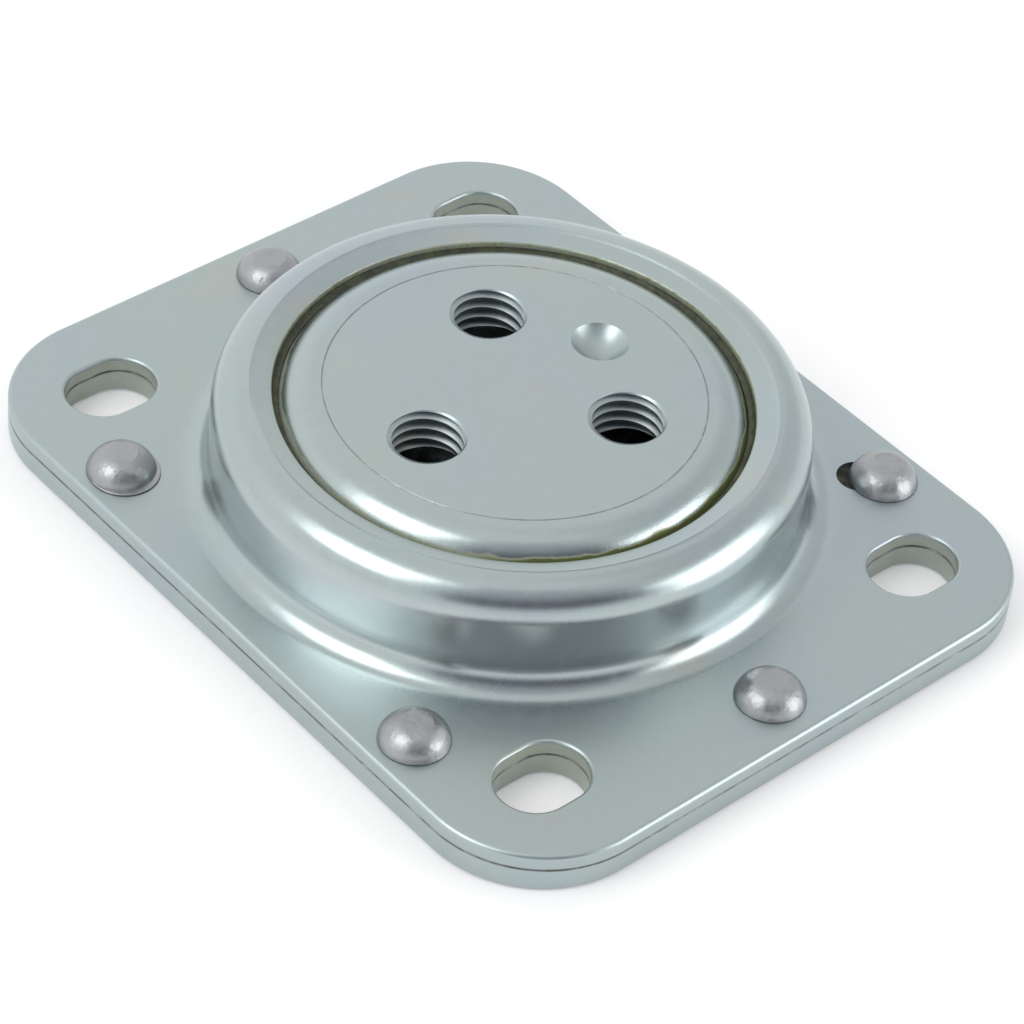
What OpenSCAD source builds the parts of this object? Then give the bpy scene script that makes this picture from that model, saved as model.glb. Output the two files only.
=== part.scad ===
// Swivel plate: a pressed upper plate with a dome is riveted to a flat base plate,
// and a rotor with three tapped holes turns in the dome on two rows of loose balls.
// X is the short side, Y the long side and Z up from the resting face of the base plate.

/* [Plates] */
// Length of both plates, along Y
plate_len = 105; // [100:1:130]
// Width of both plates, along X
plate_wid = 85; // [84:1:110]
// Radius of the four corners of the outline
corner_r = 15; // [10:0.5:20]
// Thickness of the pressed upper plate
upper_t = 2; // [1.5:0.1:2.4]
// Thickness of the flat base plate
base_t = 3; // [2.6:0.1:5]
// Rounding that the press leaves on the top rim of the upper plate
rim_round = 0.6; // [0.3:0.05:0.9]
// Break on the edges where the two plates meet
seam_break = 0.2; // [0.1:0.05:0.3]

/* [Fixing slots] */
// Distance from a slot's centre to the short edge of the plates
slot_inset_len = 12.5; // [10.5:0.5:14.5]
// Distance from a slot's centre to the long edge of the plates
slot_inset_wid = 13.5; // [12.5:0.5:15.5]
// Width of a slot
slot_w = 9; // [7:0.5:10]
// Straight run between the two round ends of a slot
slot_run = 2.5; // [1:0.5:4]

/* [Dome] */
// Height of the coined ring's outer edge above the resting face
ring_z = 18.5; // [18:0.25:22]
// Outer radius of the dome wall
dome_r = 35.6; // [35:0.1:35.9]
// Outer radius of the shoulder between the wall and the ring
shoulder_r = 4.2; // [3:0.1:4.4]
// Concave radius where the wall runs out into the flange
root_r = 3.3; // [2:0.1:3.6]
// Radius of the bore that the rotor turns in
bore_r = 28.5; // [28.4:0.1:29]
// Rounding of the bore edge
lip_r = 0.3; // [0.2:0.05:0.6]
// Outer radius of the coined ring
ring_r = 31.2; // [30.5:0.1:31.6]
// How far the coined ring falls from its outer edge to the bore
ring_fall = 0.95; // [0.3:0.05:1.1]
// Step down from the coined ring to the shoulder
ring_step = 0.12; // [0.05:0.01:0.3]

/* [Rotor] */
// Radius of the rotor in the bore
rotor_r = 28.1; // [27.5:0.1:28.2]
// Height of the rotor face above the coined ring's outer edge
rotor_proud = 0.1; // [0:0.05:0.8]
// Rounding of the rotor's outer edge
rotor_round = 4.3; // [2:0.1:4.6]
// Thickness of the rotor's face plate, which the threads are cut in
face_t = 5.5; // [4:0.25:6.5]
// Inner radius of the hollow under the face plate
hollow_r = 19.5; // [19:0.1:20.3]
// Rounding inside the hollow
hollow_round = 2; // [1:0.25:3]
// Gap between the rotor's flange and the dome wall
flange_gap = 0.6; // [0.4:0.1:0.8]
// Height of the flange's upper face above the base plate
flange_top = 8.6; // [8:0.1:9]
// Height of the flange's lower face above the base plate
flange_low = 3.4; // [3.2:0.1:4]
// Chamfer on the flange's edges
flange_break = 0.5; // [0.2:0.1:0.8]
// Radius of the scribed circle on the rotor face
scribe_r = 22.6; // [20:0.1:24]
// Width of the scribed line
scribe_w = 0.3; // [0.2:0.05:0.5]
// Depth of the scribed line
scribe_d = 0.15; // [0.1:0.05:0.3]

/* [Tapped holes] */
// Pitch circle diameter of the tapped holes and the dimple
hole_pcd = 27.6; // [26:0.2:28]
// Number of tapped holes
hole_count = 3; // [2:1:4]
// Core diameter of an M10 tapped hole
core_d = 8.5; // [6.8:0.1:9]
// Turn of the hole pattern about Z at rest, in degrees
rotor_turn = 2.5; // [0:0.5:10]
// Diameter of the drilled dimple between two tapped holes
dimple_d = 7; // [5:0.25:8]
// Point angle of the dimple, in degrees
dimple_angle = 120; // [90:5:140]

/* [Rivets] */
// Distance from an end rivet's centre to the short edge of the plates
rivet_end_inset = 6.5; // [5.5:0.25:7.25]
// Distance from a side rivet's centre to the long edge of the plates
rivet_side_inset = 5.75; // [5.25:0.25:6.5]
// Distance between the side rivets along Y
rivet_side_len = 54.5; // [52:0.5:56]
// Gap between the dome's foot and the head of the rear right rivet, hidden behind the dome
rear_rivet_gap = 0.5; // [0.3:0.05:0.6]
// Diameter of a rivet shank
shank_d = 5; // [4:0.25:6]
// Diameter of a rivet head
head_d = 8.4; // [8:0.1:8.8]
// Height of a rivet head
head_h = 2.6; // [1.8:0.1:3]
// Diameter of the flat that the snap leaves on a head
head_flat_d = 4; // [3:0.2:5]
// Diameter of the closing head, countersunk in the base plate
closing_d = 8; // [7:0.25:9]
// How far the closing head stays below the resting face
closing_sink = 0.1; // [0.05:0.05:0.3]
// Running length of the one upper rivet hole that was punched long
long_hole_run = 3.1; // [1:0.1:3.4]

/* [Balls] */
// Diameter of the upper balls, between the dome and the rotor
upper_ball_d = 7; // [6.5:0.1:7]
// Diameter of the lower balls, between the rotor and the base plate
lower_ball_d = 6; // [5.8:0.1:6.2]
// Radius of the circle that the lower balls run on
lower_row_r = 24.2; // [24:0.1:24.6]
// Depth of the raceway in the base plate
race_depth = 1; // [0.6:0.1:1.2]
// Clearance between a ball and its raceway
ball_play = 0.06; // [0.03:0.01:0.1]
// Smallest gap between two balls in a row
ball_gap = 0.1; // [0.05:0.05:0.5]

/* [Fits] */
// Clearance round a rivet shank
shank_play = 0.1; // [0.05:0.05:0.3]

/* [Hidden] */
$fn = 96;
bite = 1;
plates_t = upper_t + base_t;
rotor_z = ring_z + rotor_proud;
inner_r = dome_r - upper_t;
inner_z = ring_z - upper_t;
cup_r = shoulder_r - upper_t;
flare_r = root_r + upper_t;
foot_r = dome_r + root_r;
shoulder_z = ring_z - ring_step;
upper_ball_r = upper_ball_d / 2;
lower_ball_r = lower_ball_d / 2;
upper_row_r = inner_r - ball_play - upper_ball_r;
upper_row_z = inner_z - ball_play - upper_ball_r;
lower_row_z = base_t - race_depth + ball_play + lower_ball_r;
upper_ball_count = floor(180 / asin((upper_ball_d + ball_gap) / 2 / upper_row_r));
lower_ball_count = floor(180 / asin((lower_ball_d + ball_gap) / 2 / lower_row_r));
flange_r = inner_r - flange_gap;
flange_top_z = base_t + flange_top;
flange_low_z = base_t + flange_low;
face_low_z = rotor_z - face_t;
hole_r = hole_pcd / 2;
dimple_depth = dimple_d / 2 / tan(dimple_angle / 2);
shank_r = shank_d / 2;
rivet_hole_r = shank_r + shank_play;
head_r = head_d / 2;
head_flat_r = head_flat_d / 2;
head_round = min(head_h, head_r - head_flat_r);
closing_r = closing_d / 2;
closing_h = closing_r - shank_r;
slot_x = plate_wid / 2 - slot_inset_wid;
slot_y = plate_len / 2 - slot_inset_len;
rivet_x = plate_wid / 2 - rivet_side_inset;
rivet_y = rivet_side_len / 2;
rivet_end_y = plate_len / 2 - rivet_end_inset;
slot_spots = [for (sx = [-1, 1], sy = [-1, 1]) [sx * slot_x, sy * slot_y]];
rear_rivet_r = foot_r + rear_rivet_gap + head_r;
rear_spot = rear_rivet_r / norm([rivet_x, rivet_y]) * [rivet_x, rivet_y];
side_spots = [for (sx = [-1, 1], sy = [-1, 1])
    sx > 0 && sy > 0 ? rear_spot : [sx * rivet_x, sy * rivet_y]];
rivet_spots = concat([[0, rivet_end_y], [0, -rivet_end_y]], side_spots);
long_hole_at = 4;
long_hole_way = 135;

// One corner or one side of a plate: its section, whose edge stands at x = 0
module plate_edge_section(t, depth, top_round, low_break) {
    difference() {
        translate([-depth, 0]) square([depth, t]);
        translate([-top_round, t - top_round]) difference() {
            square(top_round + bite);
            circle(r = top_round);
        }
        polygon([[-low_break, -bite], [bite, -bite], [bite, low_break], [0, low_break], [-low_break, 0]]);
    }
}

// A plate with round corners, a rounded top rim and a broken lower edge
module rounded_plate(t, top_round, low_break) {
    cx = plate_wid / 2 - corner_r;
    cy = plate_len / 2 - corner_r;
    for (k = [0:3]) {
        sx = (k == 0 || k == 3) ? 1 : -1;
        sy = k < 2 ? 1 : -1;
        translate([sx * cx, sy * cy, 0]) rotate([0, 0, 90 * k])
            rotate_extrude(angle = 90) translate([corner_r, 0])
                plate_edge_section(t, corner_r, top_round, low_break);
    }
    for (side = [-1, 1]) {
        translate([side * plate_wid / 2, side * cy, 0]) rotate([90, 0, side > 0 ? 0 : 180])
            linear_extrude(2 * cy) plate_edge_section(t, corner_r, top_round, low_break);
        translate([-side * cx, side * plate_len / 2, 0]) rotate([90, 0, side > 0 ? 90 : 270])
            linear_extrude(2 * cx) plate_edge_section(t, corner_r, top_round, low_break);
    }
    translate([-cx, -cy, 0]) cube([2 * cx, 2 * cy, t]);
}

// A hole with two round ends, from its first end's centre along X
module long_hole(width, run, h) {
    cylinder(d = width, h = h);
    translate([run, 0, 0]) cylinder(d = width, h = h);
    translate([0, -width / 2, 0]) cube([run, width, h]);
}

module slot_cut(z0, z1) {
    for (p = slot_spots) translate([p[0] - slot_run / 2, p[1], z0])
        long_hole(slot_w, slot_run, z1 - z0);
}

// Section of the dome's outside, from the axis to the foot where it meets the flange
module dome_outside() {
    low_z = base_t + seam_break;
    translate([0, low_z]) square([dome_r, shoulder_z - shoulder_r - low_z]);
    translate([0, low_z]) square([dome_r - shoulder_r, shoulder_z - low_z]);
    translate([dome_r - shoulder_r, shoulder_z - shoulder_r]) circle(r = shoulder_r);
    translate([0, low_z]) square([ring_r, ring_z + ring_step - low_z]);
    difference() {
        translate([dome_r - bite, plates_t - bite / 2]) square([root_r + bite, root_r + bite / 2]);
        translate([foot_r, plates_t + root_r]) circle(r = root_r);
    }
}

// Section of the room under the dome
module dome_inside() {
    low_z = base_t - bite;
    translate([0, low_z]) square([inner_r, inner_z - cup_r - low_z]);
    translate([0, low_z]) square([inner_r - cup_r, inner_z - low_z]);
    translate([inner_r - cup_r, inner_z - cup_r]) circle(r = cup_r);
    difference() {
        translate([inner_r - bite, low_z]) square([flare_r + bite, plates_t + root_r - low_z]);
        translate([foot_r, plates_t + root_r]) circle(r = flare_r);
        translate([foot_r - bite / 2, 0]) square([2 * bite, plates_t + root_r + bite]);
    }
}

// Section of the bore, the falling face of the coined ring and the rounded lip between them
module bore_inside() {
    rise = ring_fall / (ring_r - bore_r);
    lean = atan(rise);
    lip_z = ring_z - ring_fall + rise * lip_r - lip_r / cos(lean);
    reach = lip_r + bite;
    square([bore_r, ring_z + bite]);
    polygon([
        [bore_r - bite, ring_z - ring_fall - rise * bite],
        [ring_r + bite, ring_z + rise * bite],
        [ring_r + bite, ring_z + 2 * bite],
        [bore_r - bite, ring_z + 2 * bite]
    ]);
    translate([bore_r + lip_r, lip_z]) difference() {
        polygon([
            [0, 0],
            [-reach * sin(lean), reach * cos(lean)],
            [-reach, reach],
            [-reach, 0]
        ]);
        circle(r = lip_r);
    }
}

module upper_plate() {
    color([0.66, 0.71, 0.70]) difference() {
        union() {
            translate([0, 0, base_t]) rounded_plate(upper_t, rim_round, seam_break);
            rotate_extrude() dome_outside();
        }
        rotate_extrude() dome_inside();
        rotate_extrude() bore_inside();
        slot_cut(base_t - bite, plates_t + bite);
        for (i = [0:len(rivet_spots) - 1]) translate([rivet_spots[i][0], rivet_spots[i][1], base_t - bite])
            if (i == long_hole_at) rotate([0, 0, long_hole_way])
                long_hole(2 * rivet_hole_r, long_hole_run, upper_t + 2 * bite);
            else cylinder(r = rivet_hole_r, h = upper_t + 2 * bite);
    }
}

module base_plate() {
    color([0.62, 0.67, 0.66]) difference() {
        rounded_plate(base_t, seam_break, seam_break);
        slot_cut(-bite, base_t + bite);
        for (p = rivet_spots) translate([p[0], p[1], 0]) {
            translate([0, 0, -bite]) cylinder(r = rivet_hole_r, h = base_t + 2 * bite);
            translate([0, 0, -bite]) cylinder(r1 = closing_r + shank_play + bite + closing_sink,
                r2 = rivet_hole_r, h = closing_h + bite + closing_sink);
        }
        translate([0, 0, lower_row_z]) rotate_extrude()
            translate([lower_row_r, 0]) circle(r = lower_ball_r + ball_play);
    }
}

// Section of the rotor: face plate, hollow, hub and flange
module rotor_section() {
    difference() {
        union() {
            translate([0, flange_low_z]) square([rotor_r - rotor_round, rotor_z - flange_low_z]);
            translate([0, flange_low_z]) square([rotor_r, rotor_z - rotor_round - flange_low_z]);
            translate([rotor_r - rotor_round, rotor_z - rotor_round]) circle(r = rotor_round);
            polygon([
                [0, flange_low_z],
                [flange_r - flange_break, flange_low_z],
                [flange_r, flange_low_z + flange_break],
                [flange_r, flange_top_z - flange_break],
                [flange_r - flange_break, flange_top_z],
                [0, flange_top_z]
            ]);
        }
        translate([-bite, 0]) square([hollow_r + bite, face_low_z - hollow_round]);
        translate([-bite, 0]) square([hollow_r - hollow_round + bite, face_low_z]);
        translate([hollow_r - hollow_round, face_low_z - hollow_round]) circle(r = hollow_round);
        translate([upper_row_r, upper_row_z]) circle(r = upper_ball_r + ball_play);
        translate([lower_row_r, lower_row_z]) circle(r = lower_ball_r + ball_play);
        translate([scribe_r, rotor_z]) polygon([
            [-scribe_w / 2, 0], [0, -scribe_d], [scribe_w / 2, 0], [scribe_w / 2, bite], [-scribe_w / 2, bite]
        ]);
    }
}

module rotor() {
    color([0.68, 0.73, 0.72]) difference() {
        rotate_extrude() rotor_section();
        for (i = [0:hole_count - 1]) rotate([0, 0, rotor_turn + 180 + i * 360 / hole_count])
            translate([hole_r, 0, face_low_z - bite]) cylinder(d = core_d, h = face_t + 2 * bite);
        rotate([0, 0, rotor_turn]) translate([hole_r, 0, rotor_z - dimple_depth])
            cylinder(r1 = 0, r2 = dimple_d / 2 * (1 + bite / dimple_depth), h = dimple_depth + bite);
    }
}

// Section of a rivet from its closing head to the snapped head
module rivet_section() {
    polygon([
        [0, closing_sink],
        [closing_r, closing_sink],
        [shank_r, closing_sink + closing_h],
        [shank_r, plates_t],
        [head_r, plates_t],
        [head_r, plates_t + head_h - head_round],
        [0, plates_t + head_h - head_round]
    ]);
    intersection() {
        translate([head_r - head_round, plates_t + head_h - head_round]) circle(r = head_round);
        translate([head_r - head_round, plates_t]) square([head_round, head_h]);
    }
    translate([0, plates_t]) square([head_r - head_round, head_h]);
}

module rivet(i) {
    color([0.63, 0.62, 0.61]) translate([rivet_spots[i - 1][0], rivet_spots[i - 1][1], 0])
        rotate_extrude() rivet_section();
}

module upper_ball(i) {
    color([0.80, 0.81, 0.82]) rotate([0, 0, i * 360 / upper_ball_count])
        translate([upper_row_r, 0, upper_row_z]) sphere(r = upper_ball_r);
}

module lower_ball(i) {
    color([0.80, 0.81, 0.82]) rotate([0, 0, i * 360 / lower_ball_count])
        translate([lower_row_r, 0, lower_row_z]) sphere(r = lower_ball_r);
}

upper_plate();
base_plate();
rotor();
for (i = [1:len(rivet_spots)])
    rivet(i);
for (i = [1:upper_ball_count])
    upper_ball(i);
for (i = [1:lower_ball_count])
    lower_ball(i);
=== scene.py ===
"""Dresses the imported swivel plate: modelled plates, rotor, rivets and grease, their finishes and the studio.

Shapes are made in millimetres, because Blender's merge and bevel distances are coarse beside a part this
small, and are brought to metres when they are done. X runs along the short side, Y along the long side and
Z up the swivel axis, from the resting face of the base plate. The pieces' sizes are in millimetres and their
angles in degrees.
"""

from __future__ import annotations

import logging
import math
from dataclasses import dataclass
from enum import Enum
from functools import cached_property
from typing import Callable, Sequence

import bmesh
import bpy
from bpy.types import Material, NodeSocket, Object, World
from mathutils import Matrix, Vector

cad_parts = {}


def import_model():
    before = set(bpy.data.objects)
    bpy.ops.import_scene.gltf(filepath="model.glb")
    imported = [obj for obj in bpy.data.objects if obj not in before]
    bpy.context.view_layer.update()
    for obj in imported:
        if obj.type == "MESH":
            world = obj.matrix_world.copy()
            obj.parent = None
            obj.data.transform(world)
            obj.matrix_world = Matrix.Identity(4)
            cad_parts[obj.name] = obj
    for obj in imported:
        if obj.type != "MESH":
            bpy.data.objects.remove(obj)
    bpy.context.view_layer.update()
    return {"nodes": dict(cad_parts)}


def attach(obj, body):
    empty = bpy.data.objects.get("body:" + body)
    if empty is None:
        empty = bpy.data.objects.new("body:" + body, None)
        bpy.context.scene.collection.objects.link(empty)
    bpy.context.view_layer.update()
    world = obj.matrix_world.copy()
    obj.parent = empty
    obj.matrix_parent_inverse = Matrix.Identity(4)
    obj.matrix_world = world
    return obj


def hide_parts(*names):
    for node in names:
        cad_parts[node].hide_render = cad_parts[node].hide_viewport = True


LOG = logging.getLogger("swivel_plate")
MM = 0.001  # A millimetre in metres
HAIR = 0.002  # Distance in mm within which two places are the same
OVER = 1.0  # How far a cutter reaches past what it cuts, in mm
DIAGONAL = math.sqrt(0.5)  # Part of a length at 45 degrees that lies along X, and along Y

Point = tuple[float, float]
Tone = tuple[int, int, int]
Test = Callable[[Vector], bool]


def arc(centre: Point, radius: float, start: float, end: float, steps: int) -> list[Point]:
    """Points along an arc of a section.

    Args:
        centre: Centre of the arc, as radius and height in mm.
        radius: Radius of the arc in mm.
        start: Angle of the first point in degrees.
        end: Angle of the last point in degrees.
        steps: Number of equal steps from the first point to the last.

    Returns:
        The points, from start to end.
    """
    turn = [math.radians(start + (end - start) * k / steps) for k in range(steps + 1)]
    return [(centre[0] + radius * math.cos(a), centre[1] + radius * math.sin(a)) for a in turn]


class Bench:
    """The work bench: adds meshes and shapes them with Blender's own tools, in millimetres."""

    @staticmethod
    def clear() -> None:
        """Leaves edit mode and deselects everything, since an operator acts on all that is selected."""
        if bpy.context.object and bpy.context.object.mode != "OBJECT":
            bpy.ops.object.mode_set(mode="OBJECT")
        bpy.ops.object.select_all(action="DESELECT")

    @staticmethod
    def take(obj: Object) -> None:
        """Makes one object the only selected and active one.

        Args:
            obj: The object.
        """
        Bench.clear()
        obj.select_set(True)
        bpy.context.view_layer.objects.active = obj

    @staticmethod
    def edit(obj: Object) -> None:
        """Opens an object in edit mode with nothing selected.

        Args:
            obj: The object.
        """
        Bench.take(obj)
        bpy.ops.object.mode_set(mode="EDIT")
        bpy.ops.mesh.select_all(action="DESELECT")

    @staticmethod
    def leave() -> None:
        """Goes back to object mode."""
        bpy.ops.object.mode_set(mode="OBJECT")

    @staticmethod
    def pick(obj: Object, kind: str, test: Test) -> int:
        """Selects vertices, edges or faces by place, in edit mode.

        Args:
            obj: The object in edit mode.
            kind: VERT, EDGE or FACE.
            test: True for a place that every vertex of the element must pass.

        Returns:
            How many elements are selected.
        """
        bpy.ops.mesh.select_mode(type=kind)
        bpy.ops.mesh.select_all(action="DESELECT")
        mesh = bmesh.from_edit_mesh(obj.data)
        found = 0
        for element in {"VERT": mesh.verts, "EDGE": mesh.edges, "FACE": mesh.faces}[kind]:
            corners = [element] if kind == "VERT" else element.verts
            if all(test(v.co) for v in corners):
                element.select_set(True)
                found += 1
        mesh.select_flush_mode()
        bmesh.update_edit_mesh(obj.data)
        return found

    @staticmethod
    def shift(obj: Object, test: Test, way: Sequence[float]) -> None:
        """Moves the vertices whose places pass a test, in edit mode."""
        Bench.pick(obj, "VERT", test)
        bpy.ops.transform.translate(value=way)

    @staticmethod
    def raise_up(height: float) -> None:
        """Makes a flat shape a closed slab, in edit mode, and goes back to object mode.

        Args:
            height: Height of the slab in mm, from the flat shape up.
        """
        bpy.ops.mesh.select_all(action="SELECT")
        bpy.ops.mesh.extrude_region_move(TRANSFORM_OT_translate={"value": (0, 0, height)})
        Bench.close_up()
        Bench.leave()

    @staticmethod
    def name(obj: Object, name: str) -> Object:
        """Names an object and its mesh.

        Args:
            obj: The object.
            name: Its new name.

        Returns:
            The same object.
        """
        obj.name = name
        obj.data.name = name
        return obj

    @staticmethod
    def settle(obj: Object, place: Sequence[float] | None = None) -> Object:
        """Applies an object's place and turn to its mesh.

        Args:
            obj: The object.
            place: A place in mm to move it to first, or None where it already stands right.

        Returns:
            The same object, unturned at the origin.
        """
        Bench.take(obj)
        if place is not None:
            obj.location = place
        bpy.ops.object.transform_apply(location=True, rotation=True, scale=False)
        return obj

    @staticmethod
    def cylinder(radius: float, low: float, high: float, centre: Point, steps: int) -> Object:
        """Adds an upright cylinder.

        Args:
            radius: Its radius in mm.
            low: Height of its lower end in mm.
            high: Height of its upper end in mm.
            centre: Place of its axis in mm.
            steps: Number of steps round it.

        Returns:
            The cylinder, in object mode.
        """
        Bench.clear()
        bpy.ops.mesh.primitive_cylinder_add(
            vertices=steps, radius=radius, depth=high - low, location=(*centre, (high + low) / 2)
        )
        return Bench.settle(bpy.context.object)

    @staticmethod
    def draw(name: str, points: Sequence[Point]) -> Object:
        """Draws a section in the XZ plane as a chain of vertices.

        Args:
            name: Name of the object.
            points: The section's points, as radius and height in mm.

        Returns:
            The object, in edit mode, with the whole chain selected.
        """
        Bench.clear()
        bpy.ops.mesh.primitive_plane_add(size=1, location=(0, 0, 0))
        obj = Bench.name(bpy.context.object, name)
        bpy.ops.object.mode_set(mode="EDIT")
        bpy.ops.mesh.select_mode(type="VERT")
        bpy.ops.mesh.select_all(action="SELECT")
        bpy.ops.mesh.merge(type="CENTER")
        bpy.ops.transform.translate(value=(points[0][0], 0, points[0][1]))
        for a, b in zip(points, points[1:]):
            bpy.ops.mesh.extrude_vertices_move(TRANSFORM_OT_translate={"value": (b[0] - a[0], 0, b[1] - a[1])})
        bpy.ops.mesh.select_all(action="SELECT")
        return obj

    @staticmethod
    def close_up() -> None:
        """Merges doubled vertices and turns the faces outwards, in edit mode."""
        bpy.ops.mesh.select_all(action="SELECT")
        bpy.ops.mesh.remove_doubles(threshold=HAIR)
        bpy.ops.mesh.normals_make_consistent(inside=False)
        bpy.ops.mesh.select_all(action="DESELECT")

    @staticmethod
    def turn(name: str, points: Sequence[Point], steps: int) -> Object:
        """Turns a section about Z as on a lathe.

        Args:
            name: Name of the object.
            points: The section's points, as radius and height in mm.
            steps: Number of steps round the axis.

        Returns:
            The turned object, in object mode.
        """
        obj = Bench.draw(name, points)
        bpy.ops.mesh.spin(steps=steps, angle=2 * math.pi, center=(0, 0, 0), axis=(0, 0, 1))
        Bench.close_up()
        Bench.leave()
        return obj

    @staticmethod
    def apply(obj: Object, kind: str, **settings: object) -> None:
        """Adds a modifier with its settings to an object and applies it.

        Args:
            obj: The object.
            kind: The modifier's type.
            settings: The modifier's settings by name.
        """
        Bench.take(obj)
        modifier = obj.modifiers.new(kind.lower(), kind)
        for key, value in settings.items():
            setattr(modifier, key, value)
        bpy.ops.object.modifier_apply(modifier=modifier.name)

    @staticmethod
    def cut(obj: Object, tools: Sequence[Object]) -> None:
        """Cuts each tool out of an object and throws the tool away.

        Args:
            obj: The object that is cut.
            tools: The closed shapes that cut it.
        """
        for tool in tools:
            Bench.apply(obj, "BOOLEAN", operation="DIFFERENCE", solver="EXACT", object=tool)
            bpy.data.objects.remove(tool)

    @staticmethod
    def join(obj: Object, others: Sequence[Object]) -> Object:
        """Joins other objects to one.

        Args:
            obj: The object that takes the others in.
            others: The other objects.

        Returns:
            The same object, with what touches merged and its faces turned outwards.
        """
        Bench.take(obj)
        for other in others:
            other.select_set(True)
        bpy.ops.object.join()
        Bench.edit(obj)
        Bench.close_up()
        Bench.leave()
        return obj

    @staticmethod
    def roughen(obj: Object, test: Test, reach: float, even: float, seed: int) -> None:
        """Pushes vertices about at random.

        Args:
            obj: The object.
            test: True for the place of a vertex that is pushed.
            reach: The longest push in mm.
            even: How even the pushes are, from 0 to 1.
            seed: Start of the random numbers.
        """
        Bench.edit(obj)
        Bench.pick(obj, "VERT", test)
        bpy.ops.transform.vertex_random(offset=reach, uniform=even, normal=0.0, seed=seed)
        Bench.leave()

    @staticmethod
    def bevel(obj: Object, test: Test, width: float, steps: int) -> None:
        """Rounds the edges whose two ends pass a test.

        Args:
            obj: The object to round.
            test: True for the place of an edge's end.
            width: Width of the rounding in mm.
            steps: Number of steps across it.
        """
        Bench.edit(obj)
        if Bench.pick(obj, "EDGE", test):
            bpy.ops.mesh.bevel(
                offset=width, offset_type="OFFSET", segments=steps, profile=0.5,
                affect="EDGES", clamp_overlap=False,
            )
        Bench.leave()

    @staticmethod
    def finish(obj: Object, crease: float = 34.0) -> Object:
        """Brings a shape to metres, smooths it up to an angle and keeps its flat faces flat.

        Args:
            obj: The shape in mm.
            crease: Angle between faces, in degrees, from which an edge stays sharp.

        Returns:
            The same object, unturned and unscaled at the origin.
        """
        Bench.take(obj)
        bpy.ops.object.transform_apply(location=True, rotation=True, scale=True)
        obj.scale = (MM, MM, MM)
        bpy.ops.object.transform_apply(location=False, rotation=False, scale=True)
        bpy.ops.object.shade_smooth_by_angle(angle=math.radians(crease))
        Bench.apply(obj, "WEIGHTED_NORMAL", mode="FACE_AREA", weight=50, keep_sharp=True)
        Bench.clear()
        return obj


@dataclass(frozen=True)
class SlotPattern:
    """The four fixing slots, which run through both plates."""

    pitch_x: float = 58.0
    pitch_y: float = 80.0
    width: float = 9.0
    run: float = 2.5

    def centres(self) -> list[Point]:
        """Centres of the slots in mm."""
        return [(sx * self.pitch_x / 2, sy * self.pitch_y / 2) for sx in (-1, 1) for sy in (-1, 1)]

    def tool(self, low: float, high: float, steps: int) -> Object:
        """A cutter for all four slots.

        Args:
            low: Height of the cutter's lower end in mm.
            high: Height of its upper end in mm.
            steps: Number of steps round both ends of a slot.

        Returns:
            The cutter, one closed shape for each slot.
        """
        parts = []
        for cx, cy in self.centres():
            Bench.clear()
            bpy.ops.mesh.primitive_circle_add(
                vertices=steps, radius=self.width / 2, fill_type="NGON", location=(cx, cy, low)
            )
            part = Bench.settle(bpy.context.object)
            Bench.edit(part)
            for side in (-1, 1):
                Bench.shift(part, lambda p, s=side, x=cx: s * (p.x - x) > HAIR, (side * self.run / 2, 0, 0))
            Bench.raise_up(high - low)
            parts.append(part)
        return Bench.join(parts[0], parts[1:])

    def near(self, p: Vector, margin: float = 0.3) -> bool:
        """Whether a place lies on or beside the wall of a slot.

        Args:
            p: The place in mm.
            margin: How far from a wall still counts, in mm.

        Returns:
            True on or beside a wall.
        """
        for cx, cy in self.centres():
            across = max(abs(p.x - cx) - self.run / 2, 0.0)
            if abs(math.hypot(across, p.y - cy) - self.width / 2) < margin:
                return True
        return False


@dataclass(frozen=True)
class RivetPattern:
    """Where the six rivets sit, in the order of their nodes."""

    end_y: float = 46.0
    side_x: float = 36.75
    side_y: float = 27.25
    rear_r: float = 43.6
    steps: int = 48

    def centres(self) -> list[Point]:
        """Centres of the rivets.

        Returns:
            The places in mm. The rear right rivet sits nearer the axis.
        """
        sides = [(sx * self.side_x, sy * self.side_y) for sx in (-1, 1) for sy in (-1, 1)]
        share = self.rear_r / math.hypot(self.side_x, self.side_y)
        return [(0.0, self.end_y), (0.0, -self.end_y), *sides[:3], (self.side_x * share, self.side_y * share)]

    def tool(self, low: float, high: float, radius: float, long_at: int | None, run: float) -> Object:
        """A cutter for the rivet holes.

        Args:
            low: Height of the cutter's lower end in mm.
            high: Height of its upper end in mm.
            radius: Radius of a hole in mm.
            long_at: Index of the hole that was punched long, or None.
            run: Running length of that hole in mm.

        Returns:
            The cutter, one closed shape for each hole.
        """
        parts = []
        for index, (cx, cy) in enumerate(self.centres()):
            part = Bench.cylinder(radius, low, high, (cx, cy), self.steps)
            if index == long_at:
                way = Vector((-DIAGONAL, DIAGONAL, 0))
                Bench.edit(part)
                Bench.shift(part, lambda p, c=Vector((cx, cy, 0)): (p - c).dot(way) > HAIR, way * run)
                Bench.leave()
            parts.append(part)
        return Bench.join(parts[0], parts[1:])


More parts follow.
